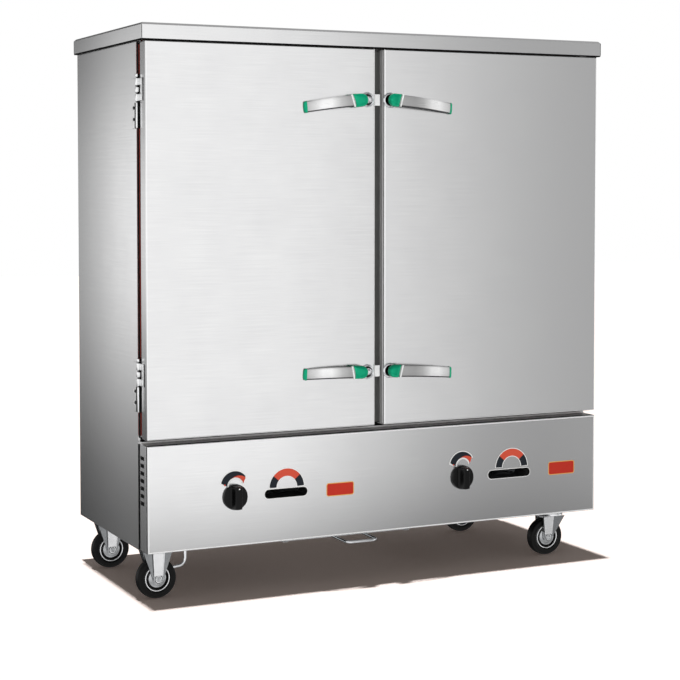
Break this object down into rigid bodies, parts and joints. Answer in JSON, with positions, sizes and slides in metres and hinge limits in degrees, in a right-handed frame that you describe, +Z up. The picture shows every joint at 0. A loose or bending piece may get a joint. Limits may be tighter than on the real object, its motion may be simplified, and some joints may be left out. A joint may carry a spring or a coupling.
{
  "type": "gas steaming cabinet",
  "caption": "Upright two-door stainless gas steaming cabinet on casters, with lever latches, tray racks, water tanks and burners under the chambers.",
  "frame": {"origin": "on the floor, at the middle of the footprint", "axes": "+X to the right seen from the front, +Y to the back, +Z up"},
  "size_m": [1.4468, 0.6852, 1.55],
  "materials": {
    "brushed_stainless": "No. 4 brushed stainless sheet",
    "door_stainless": "fine brushed stainless sheet",
    "inner_stainless": "plain rolled stainless sheet",
    "foam": "foamed insulation",
    "door_foam": "stainless faced foam panel",
    "gasket_rubber": "moulded silicone rubber",
    "hinge_steel": "pressed stainless",
    "latch_chrome": "polished chrome",
    "latch_band": "brushed stainless band",
    "green_plastic": "moulded gloss plastic",
    "black_plastic": "moulded phenolic",
    "black_steel": "heat-proof black paint",
    "frame_steel": "grey painted steel",
    "cast_iron": "as cast",
    "brass": "turned brass",
    "pipe_steel": "galvanised steel pipe",
    "zinc_steel": "bright zinc plate",
    "wheel_rubber": "solid rubber",
    "yellow_plastic": "dipped vinyl"
  },
  "bodies": {
    "cabinet": {"base_frame": "frame_steel", "side_panel_left": "brushed_stainless", "side_panel_right": "brushed_stainless", "back_panel": "brushed_stainless", "top_cover": "brushed_stainless", "front_frame": "brushed_stainless", "control_panel": "brushed_stainless", "insulation": "foam", "chamber_left": "inner_stainless", "chamber_right": "inner_stainless", "tray_rack_left": "inner_stainless", "tray_rack_right": "inner_stainless", "water_tanks": "inner_stainless", "steam_grids": "inner_stainless", "steam_vents": "inner_stainless", "burners": "cast_iron", "gas_valves": "brass", "gas_manifold": "pipe_steel", "lighting_ports": "black_steel", "water_feed_box": "inner_stainless", "water_pipe": "brass", "tray_runners": "inner_stainless", "keepers": "latch_chrome", "hinge_plates": "hinge_steel", "hinge_pins": "hinge_steel", "rigid_forks": "zinc_steel", "swivel_plates": "zinc_steel", "bent_rod": "zinc_steel"},
    "door_left": {"door_skin_left": "door_stainless", "door_inner_left": "door_foam", "door_gasket_left": "gasket_rubber", "door_hinge_leaves_left": "hinge_steel", "latch_bases_left": "latch_chrome"},
    "door_right": {"door_skin_right": "door_stainless", "door_inner_right": "door_foam", "door_gasket_right": "gasket_rubber", "door_hinge_leaves_right": "hinge_steel", "latch_bases_right": "latch_chrome"},
    "latch_upper_left": {"latch_lever_upper_left": "latch_band", "latch_grip_upper_left": "green_plastic"},
    "latch_lower_left": {"latch_lever_lower_left": "latch_band", "latch_grip_lower_left": "green_plastic"},
    "latch_upper_right": {"latch_lever_upper_right": "latch_band", "latch_grip_upper_right": "green_plastic"},
    "latch_lower_right": {"latch_lever_lower_right": "latch_band", "latch_grip_lower_right": "green_plastic"},
    "knob_left": {"knob_left": "black_plastic"},
    "knob_right": {"knob_right": "black_plastic"},
    "drip_tray": {"drip_tray": "inner_stainless"},
    "drain_lever": {"drain_lever": "yellow_plastic"},
    "swivel_front": {"swivel_fork_front": "zinc_steel"},
    "swivel_rear": {"swivel_fork_rear": "zinc_steel"},
    "wheel_front_left": {"wheel_rim_front_left": "zinc_steel", "tyre_front_left": "wheel_rubber"},
    "wheel_rear_left": {"wheel_rim_rear_left": "zinc_steel", "tyre_rear_left": "wheel_rubber"},
    "wheel_front_right": {"wheel_rim_front_right": "zinc_steel", "tyre_front_right": "wheel_rubber"},
    "wheel_rear_right": {"wheel_rim_rear_right": "zinc_steel", "tyre_rear_right": "wheel_rubber"}
  },
  "joints": [
    {"name": "door_left_swing", "type": "hinge", "parent": "cabinet", "child": "door_left", "pos_m": [-0.717, -0.2564, 0.9715], "axis": [0, 0, -1], "range_deg": [0, 180]},
    {"name": "door_right_swing", "type": "hinge", "parent": "cabinet", "child": "door_right", "pos_m": [0.717, -0.2564, 0.9715], "axis": [0, 0, 1], "range_deg": [0, 180]},
    {"name": "latch_upper_left_turn", "type": "hinge", "parent": "door_left", "child": "latch_upper_left", "pos_m": [-0.0551, -0.3264, 1.36], "axis": [0, -1, 0], "range_deg": [0, 85]},
    {"name": "latch_lower_left_turn", "type": "hinge", "parent": "door_left", "child": "latch_lower_left", "pos_m": [-0.0551, -0.3264, 0.594], "axis": [0, -1, 0], "range_deg": [0, 85]},
    {"name": "latch_upper_right_turn", "type": "hinge", "parent": "door_right", "child": "latch_upper_right", "pos_m": [0.0159, -0.3264, 1.36], "axis": [0, 1, 0], "range_deg": [0, 85]},
    {"name": "latch_lower_right_turn", "type": "hinge", "parent": "door_right", "child": "latch_lower_right", "pos_m": [0.0159, -0.3264, 0.594], "axis": [0, 1, 0], "range_deg": [0, 85]},
    {"name": "knob_left_turn", "type": "hinge", "parent": "cabinet", "child": "knob_left", "pos_m": [-0.461, -0.3264, 0.27], "axis": [0, 1, 0], "range_deg": [0, 180]},
    {"name": "knob_right_turn", "type": "hinge", "parent": "cabinet", "child": "knob_right", "pos_m": [0.251, -0.3264, 0.27], "axis": [0, 1, 0], "range_deg": [0, 180]},
    {"name": "drip_tray_slide", "type": "slide", "parent": "cabinet", "child": "drip_tray", "axis": [0, -1, 0], "range_m": [0, 0.33]},
    {"name": "drain_lever_turn", "type": "hinge", "parent": "cabinet", "child": "drain_lever", "pos_m": [0, 0.3076, 0.411], "axis": [0, 0, 1], "range_deg": [0, 90]},
    {"name": "swivel_front_turn", "type": "hinge", "parent": "cabinet", "child": "swivel_front", "pos_m": [0.607, -0.2449, 0.11], "axis": [0, 0, 1], "continuous": true},
    {"name": "swivel_rear_turn", "type": "hinge", "parent": "cabinet", "child": "swivel_rear", "pos_m": [0.544, 0.1586, 0.11], "axis": [0, 0, 1], "continuous": true},
    {"name": "wheel_front_left_spin", "type": "hinge", "parent": "cabinet", "child": "wheel_front_left", "pos_m": [-0.667, -0.2449, 0.0553], "axis": [0, 1, 0], "continuous": true},
    {"name": "wheel_front_right_spin", "type": "hinge", "parent": "swivel_front", "child": "wheel_front_right", "pos_m": [0.577, -0.2449, 0.0553], "axis": [0, 1, 0], "continuous": true},
    {"name": "wheel_rear_left_spin", "type": "hinge", "parent": "cabinet", "child": "wheel_rear_left", "pos_m": [-0.667, 0.1586, 0.0553], "axis": [0, 1, 0], "continuous": true},
    {"name": "wheel_rear_right_spin", "type": "hinge", "parent": "swivel_rear", "child": "wheel_rear_right", "pos_m": [0.514, 0.1586, 0.0553], "axis": [0, 1, 0], "continuous": true}
  ]
}
